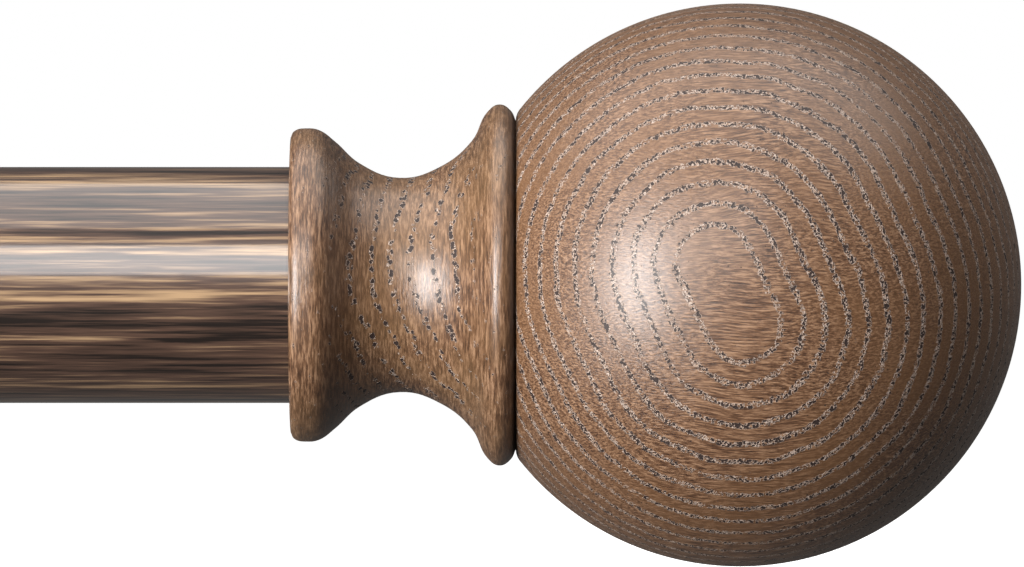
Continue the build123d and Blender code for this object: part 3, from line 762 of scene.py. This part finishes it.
class CURTAINROD_OT_thread_bolts(bpy.types.Operator):
    """Make the two hanger bolts: machine thread for the rod, plain neck, wood thread for the ball"""

    bl_idname = "curtain_rod.thread_bolts"
    bl_label = "Thread Finial Bolts"

    def execute(self, context):
        colours, sizes = context.scene.curtain_rod_colours, context.scene.curtain_rod_sizes
        low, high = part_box("finial_bolt_right")
        outward = OUTWARD["right"]
        tip = Vector((low.x, (low.y + high.y) / 2, (low.z + high.z) / 2))
        major = (high.z - low.z) / 2
        length = high.x - low.x
        tip_length = 0.8 * MM
        wood_length = 19.0 * MM
        point_length = 3.0 * MM
        neck_length = 6.0 * MM
        overlap = 0.2 * MM
        machine_length = length - tip_length - neck_length - wood_length
        machine_minor = major - 0.55 * MM
        wood_minor = major - 0.85 * MM
        machine = cut_thread(tip + outward * tip_length, outward, machine_length, major, machine_minor,
                             sizes.bolt_pitch)
        wood_start = tip + outward * (length - wood_length)
        wood = cut_thread(wood_start, outward, wood_length - point_length, major, wood_minor,
                          sizes.bolt_wood_pitch, crest=0.08)
        core = lathe([
            (0.0, machine_minor - 0.5 * MM, False),
            (tip_length, machine_minor, False),
            (tip_length + overlap, 0.0, False),
            (0.0, 0.0, False),
        ], 48, tip, outward)
        neck = lathe([
            (-overlap, 0.0, False),
            (-overlap, major - 0.12 * MM, False),
            (neck_length + overlap, major - 0.12 * MM, False),
            (neck_length + overlap, 0.0, False),
        ], 48, wood_start - outward * neck_length, outward)
        point = lathe([
            (-overlap, 0.0, False),
            (-overlap, wood_minor, False),
            (point_length, 0.3 * MM, False),
            (point_length, 0.0, False),
        ], 48, wood_start + outward * (wood_length - point_length), outward)
        right = join(machine, wood, core, neck, point)
        far_tip = Vector((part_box("finial_bolt_left")[1].x, tip.y, tip.z))
        left = copy_piece(right, tip, far_tip, turn=pi)
        # Steel, thread rolled and zinc plated: bright and slightly blue, dulled in patches.
        zinc = turned_metal("zinc_plated_rolled_steel", colours.zinc, colours.zinc_dull,
                            roughness=0.26, axis=Vector((1, 0, 0)))
        for side, piece in (("right", right), ("left", left)):
            finish_piece(piece, f"hanger_bolt_{side}", f"{side}_finial_bolt", "zinc_steel", zinc,
                         f"finial_bolt_{side}", angle=25)
        return {"FINISHED"}


# ---- Rod -------------------------------------------------------------------------------------------

class CURTAINROD_OT_wrap_tubes(bpy.types.Operator):
    """Make the two telescoping tubes and the end collar, wrapped in wood-grain foil"""

    bl_idname = "curtain_rod.wrap_tubes"
    bl_label = "Wrap Rod Tubes"

    def execute(self, context):
        axis_point = node_middle("outer_tube")
        foil = printed_foil(Vector((0, axis_point.y, axis_point.z)))
        for node, name, wall, body in (
            ("outer_tube", "rod_tube_outer", 0.8 * MM, "rod"),
            ("inner_tube", "rod_tube_inner", 0.7 * MM, "inner_rod"),
            ("end_collar", "rod_end_collar", 1.6 * MM, "inner_rod"),
        ):
            size = node_size(node)
            begin()
            bpy.ops.mesh.primitive_cylinder_add(vertices=144, radius=size.y / 2, depth=size.x,
                                                end_fill_type="NOTHING", location=node_middle(node),
                                                rotation=(0, radians(90), 0))
            tube = keep_place()
            solid = tube.modifiers.new("wall", "SOLIDIFY")
            solid.thickness = wall
            solid.offset = -1.0
            bpy.ops.object.modifier_apply(modifier=solid.name)
            eased = tube.modifiers.new("eased_rims", "BEVEL")
            eased.width = 0.12 * MM
            eased.segments = 2
            eased.limit_method = "ANGLE"
            bpy.ops.object.modifier_apply(modifier=eased.name)
            # The rims stay sharp in shading, so that they don't tilt the long faces' reflections.
            finish_piece(tube, name, body, "rod_film", foil, node, angle=12)
        return {"FINISHED"}


# ---- Brackets and fixings --------------------------------------------------------------------------

class CURTAINROD_OT_drive_wall_screws(bpy.types.Operator):
    """Make the four countersunk wall screws, with cross recess, plain neck and wood thread"""

    bl_idname = "curtain_rod.drive_wall_screws"
    bl_label = "Drive Wall Screws"

    def execute(self, context):
        colours, sizes = context.scene.curtain_rod_colours, context.scene.curtain_rod_sizes
        low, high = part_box("wall_screws_right")
        head_radius = (high.x - low.x) / 2
        top = Vector(((low.x + high.x) / 2, low.y, high.z - head_radius))
        inward = Vector((0, 1, 0))
        length = high.y - low.y
        neck_radius, neck_end = 2.2 * MM, 9.0 * MM
        major, minor = 2.0 * MM, 1.35 * MM
        point_length = 4.0 * MM
        overlap = 0.2 * MM
        shape = lathe([
            (0.0, 0.0, False),
            (0.0, head_radius - 0.1 * MM, False),
            (0.15 * MM, head_radius, False),
            (0.15 * MM + head_radius - neck_radius, neck_radius, False),
            (neck_end, neck_radius, False),
            (neck_end + 0.6 * MM, minor, False),
            (neck_end + 0.8 * MM, 0.0, False),
        ], 48, top, inward)

        # Cross recess, cut by two crossed blades that taper into the head.
        blade_width, blade_span, blade_depth, taper = 0.9 * MM, 4.4 * MM, 1.6 * MM, 0.45
        blades = []
        for across, upright in ((blade_width, blade_span), (blade_span, blade_width)):
            begin()
            bpy.ops.mesh.primitive_cube_add(size=1.0, location=top)
            blade = bpy.context.object
            blade.scale = (across, 2 * blade_depth, upright)
            keep_place()
            bpy.ops.object.mode_set(mode="EDIT")
            select_faces(lambda face: face.normal.dot(inward) > 0.9)
            bpy.ops.transform.resize(value=(taper, 1.0, taper), center_override=top + inward * blade_depth)
            bpy.ops.object.mode_set(mode="OBJECT")
            blades.append(blade)
        for blade in blades:
            begin()
            shape.select_set(True)
            context.view_layer.objects.active = shape
            recess = shape.modifiers.new("recess", "BOOLEAN")
            recess.object = blade
            recess.operation = "DIFFERENCE"
            bpy.ops.object.modifier_apply(modifier=recess.name)
            bpy.data.objects.remove(blade)

        thread_start = top + inward * neck_end
        thread = cut_thread(thread_start, inward, length - neck_end - point_length, major, minor,
                            sizes.wall_pitch, crest=0.06)
        point = lathe([
            (-overlap, 0.0, False),
            (-overlap, minor, False),
            (point_length, 0.15 * MM, False),
            (point_length, 0.0, False),
        ], 48, top + inward * (length - point_length), inward)
        upper = join(shape, thread, point)
        lower = copy_piece(upper, top, Vector((top.x, top.y, low.z + head_radius)))
        right = join(upper, lower)
        shift = node_middle("wall_screws_left") - node_middle("wall_screws_right")
        left = copy_piece(right, top, top + shift)
        # Steel, cold formed and zinc plated: a softer shine than the rolled bolts have.
        zinc = turned_metal("zinc_plated_formed_steel", colours.zinc, colours.zinc_dull,
                            roughness=0.30, axis=Vector((0, 1, 0)))
        for side, piece in (("right", right), ("left", left)):
            finish_piece(piece, f"wall_screw_pair_{side}", f"{side}_wall", "zinc_steel", zinc,
                         f"wall_screws_{side}", angle=25)
        return {"FINISHED"}


class CURTAINROD_OT_thread_thumbscrews(bpy.types.Operator):
    """Make the four thumbscrew shanks: M4 thread with a plain dog point that presses the rod or the arm"""

    bl_idname = "curtain_rod.thread_thumbscrews"
    bl_label = "Thread Thumbscrews"

    def execute(self, context):
        colours, sizes = context.scene.curtain_rod_colours, context.scene.curtain_rod_sizes
        low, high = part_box("cradle_lock_shank_right")
        outward = Vector((0, -1, 0))
        middle = (low + high) / 2
        tip = Vector((middle.x, high.y, middle.z))
        major = (high.x - low.x) / 2
        minor = major - 0.4 * MM
        length = high.y - low.y
        dog_length = 1.2 * MM
        overlap = 0.2 * MM
        thread = cut_thread(tip + outward * dog_length, outward, length - dog_length, major, minor,
                            sizes.lock_pitch)
        dog = lathe([
            (0.0, 0.0, False),
            (0.0, minor - 0.45 * MM, False),
            (0.3 * MM, minor - 0.1 * MM, False),
            (dog_length + overlap, minor - 0.1 * MM, False),
            (dog_length + overlap, 0.0, False),
        ], 48, tip, outward)
        cradle_right = join(thread, dog)
        shanks = {"cradle_lock_shank_right": cradle_right}
        shift = node_middle("cradle_lock_shank_left") - middle
        shanks["cradle_lock_shank_left"] = copy_piece(cradle_right, tip, tip + shift)
        for side in SIDES:
            arm_low, arm_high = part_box(f"arm_lock_shank_{side}")
            arm_middle = (arm_low + arm_high) / 2
            arm_tip = Vector((arm_middle.x, arm_middle.y, arm_high.z))
            upright = copy_piece(cradle_right, tip, arm_tip, turn=radians(90), about="X")
            shanks[f"arm_lock_shank_{side}"] = upright
        # Steel, thread cut and zinc plated: the sharpest shine of the screws.
        zinc = turned_metal("zinc_plated_cut_steel", colours.zinc, colours.zinc_dull,
                            roughness=0.24, axis=Vector((0, 1, 0)))
        for side in SIDES:
            for lock in ("cradle", "arm"):
                node = f"{lock}_lock_shank_{side}"
                finish_piece(shanks[node], f"{lock}_lock_thread_{side}", f"{side}_{lock}_lock_shank",
                             "zinc_steel", zinc, node, angle=25)
        return {"FINISHED"}


class CURTAINROD_OT_finish_brackets(bpy.types.Operator):
    """Powder coat the brackets and oil the thumbscrew knobs"""

    bl_idname = "curtain_rod.finish_brackets"
    bl_label = "Finish Brackets"

    def execute(self, context):
        finish_nodes("bracket_bronze", powder_coat())
        finish_nodes("knob_bronze", oiled_bronze())
        return {"FINISHED"}


class CURTAINROD_OT_finish_fittings(bpy.types.Operator):
    """Finish the small fittings: nylon plugs, bush and glide, brass inserts, zinc-plated screws"""

    bl_idname = "curtain_rod.finish_fittings"
    bl_label = "Finish Fittings"

    def execute(self, context):
        colours = context.scene.curtain_rod_colours
        finish_nodes("nylon", moulded_nylon())
        # Free-cutting brass, turned: yellow with fine tool rings, browned where it was handled.
        brass = turned_metal("turned_brass", colours.brass, colours.brass_dull,
                             roughness=0.22, axis=Vector((1, 0, 0)))
        finish_nodes("insert_brass", brass)
        # Steel, cold headed and zinc plated: a soft grey shine on the screws' heads.
        zinc = turned_metal("zinc_plated_headed_steel", colours.zinc, colours.zinc_dull,
                            roughness=0.30, axis=Vector((0, 1, 0)))
        finish_nodes("zinc_steel", zinc, "cradle_fixing_screw")
        return {"FINISHED"}


# ---- Stage -----------------------------------------------------------------------------------------

def softbox(name, place, aim, size, power):
    """A rectangular studio light at place that faces aim."""
    data = bpy.data.lights.new(name, "AREA")
    data.shape = "RECTANGLE"
    data.size, data.size_y = size
    data.energy = power
    lamp = bpy.data.objects.new(name, data)
    bpy.context.scene.collection.objects.link(lamp)
    lamp.location = place
    lamp.rotation_euler = (aim - place).to_track_quat("-Z", "Y").to_euler()


class CURTAINROD_OT_set_stage(bpy.types.Operator):
    """Set a pale floor, soft lights and a camera square to the rod's right end"""

    bl_idname = "curtain_rod.set_stage"
    bl_label = "Set Stage"

    def execute(self, context):
        scene = context.scene
        floor_height = cad_bounds[0].z - 0.5 * MM
        white = bpy.data.materials.new("painted_studio_floor")
        white.use_nodes = True
        fit(white.node_tree.nodes["Principled BSDF"], Base_Color=linear("#f4f3f1"), Roughness=0.9,
            Emission_Color=(1.0, 1.0, 1.0, 1.0), Emission_Strength=0.9)
        begin()
        floor_radius, dome_radius = 38.0, 40.0
        bpy.ops.mesh.primitive_circle_add(vertices=96, radius=floor_radius, fill_type="NGON",
                                          location=(0, 0, floor_height))
        floor = bpy.context.object
        floor.name = "studio_floor"
        floor.data.materials.append(white)

        glow = bpy.data.materials.new("white_studio_backdrop")
        glow.use_nodes = True
        tree = glow.node_tree
        tree.nodes.clear()
        light = add(tree, "Emission", {"Color": (1.0, 1.0, 1.0, 1.0), "Strength": 1.0})
        add(tree, "OutputMaterial", {0: light})
        begin()
        bpy.ops.mesh.primitive_uv_sphere_add(segments=64, ring_count=32, radius=dome_radius,
                                             location=(0, 0, 0))
        dome = bpy.context.object
        dome.name = "studio_backdrop"
        dome.data.materials.append(glow)
        for surface in (floor, dome):
            surface.visible_diffuse = False
            surface.visible_glossy = False
            surface.visible_transmission = False
            surface.visible_shadow = False

        world = bpy.data.worlds.new("studio_air")
        world.use_nodes = True
        background = world.node_tree.nodes["Background"]
        fit(background, Color=(1.0, 0.97, 0.95, 1.0), Strength=0.12)
        scene.world = world

        ball = node_middle("finial_ball_right")
        # The lights' places and aims are measured from the middle of the right ball.
        for name, place, aim, size, power in (
            ("key_left", (-0.72, -0.76, 0.03), (0, 0, 0), (0.30, 0.56), 24.0),
            ("rod_strip", (-0.12, -0.82, 0.37), (-0.06, 0, 0), (0.50, 0.46), 4.4),
            ("overhead", (-0.15, -0.04, 0.60), (-0.15, -0.02, 0), (1.6, 0.70), 7.6),
        ):
            softbox(name, ball + Vector(place), ball + Vector(aim), size, power)

        view = bpy.data.cameras.new("square_on")
        view.lens = 400.0
        view.sensor_width = 36.0
        view.clip_end = 120.0
        camera = bpy.data.objects.new("square_on", view)
        scene.collection.objects.link(camera)
        spool_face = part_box("finial_spool_right")[0].x
        past_face, distance, rise = 23.8 * MM, 1224.8 * MM, 0.16 * MM
        camera.location = (spool_face + past_face, ball.y - distance, ball.z + rise)
        camera.rotation_euler = (radians(90), 0, 0)
        scene.camera = camera
        scene.view_settings.view_transform = "Standard"
        scene.view_settings.look = "None"
        return {"FINISHED"}


class CURTAINROD_PT_pieces(bpy.types.Panel):
    """Lists the set's pieces and its settings"""

    bl_label = "Curtain Rod Set"
    bl_space_type = "VIEW_3D"
    bl_region_type = "UI"
    bl_category = "Curtain Rod"

    def draw(self, context):
        for maker in MAKERS:
            self.layout.operator(maker.bl_idname)
        for settings in (context.scene.curtain_rod_colours, context.scene.curtain_rod_sizes):
            for name in settings.bl_rna.properties.keys():
                if name not in ("rna_type", "name"):
                    self.layout.prop(settings, name)


MAKERS = (
    CURTAINROD_OT_turn_spools,
    CURTAINROD_OT_turn_balls,
    CURTAINROD_OT_thread_bolts,
    CURTAINROD_OT_wrap_tubes,
    CURTAINROD_OT_drive_wall_screws,
    CURTAINROD_OT_thread_thumbscrews,
    CURTAINROD_OT_finish_brackets,
    CURTAINROD_OT_finish_fittings,
    CURTAINROD_OT_set_stage,
)
CLASSES = (CurtainRodColours, CurtainRodSizes, *MAKERS, CURTAINROD_PT_pieces)


def register():
    for cls in CLASSES:
        bpy.utils.register_class(cls)
    bpy.types.Scene.curtain_rod_colours = bpy.props.PointerProperty(type=CurtainRodColours)
    bpy.types.Scene.curtain_rod_sizes = bpy.props.PointerProperty(type=CurtainRodSizes)


def unregister():
    del bpy.types.Scene.curtain_rod_sizes
    del bpy.types.Scene.curtain_rod_colours
    for cls in reversed(CLASSES):
        bpy.utils.unregister_class(cls)


def main():
    register()
    for maker in MAKERS:
        group, action = maker.bl_idname.split(".")
        getattr(getattr(bpy.ops, group), action)()


if __name__ == "__main__":
    main()
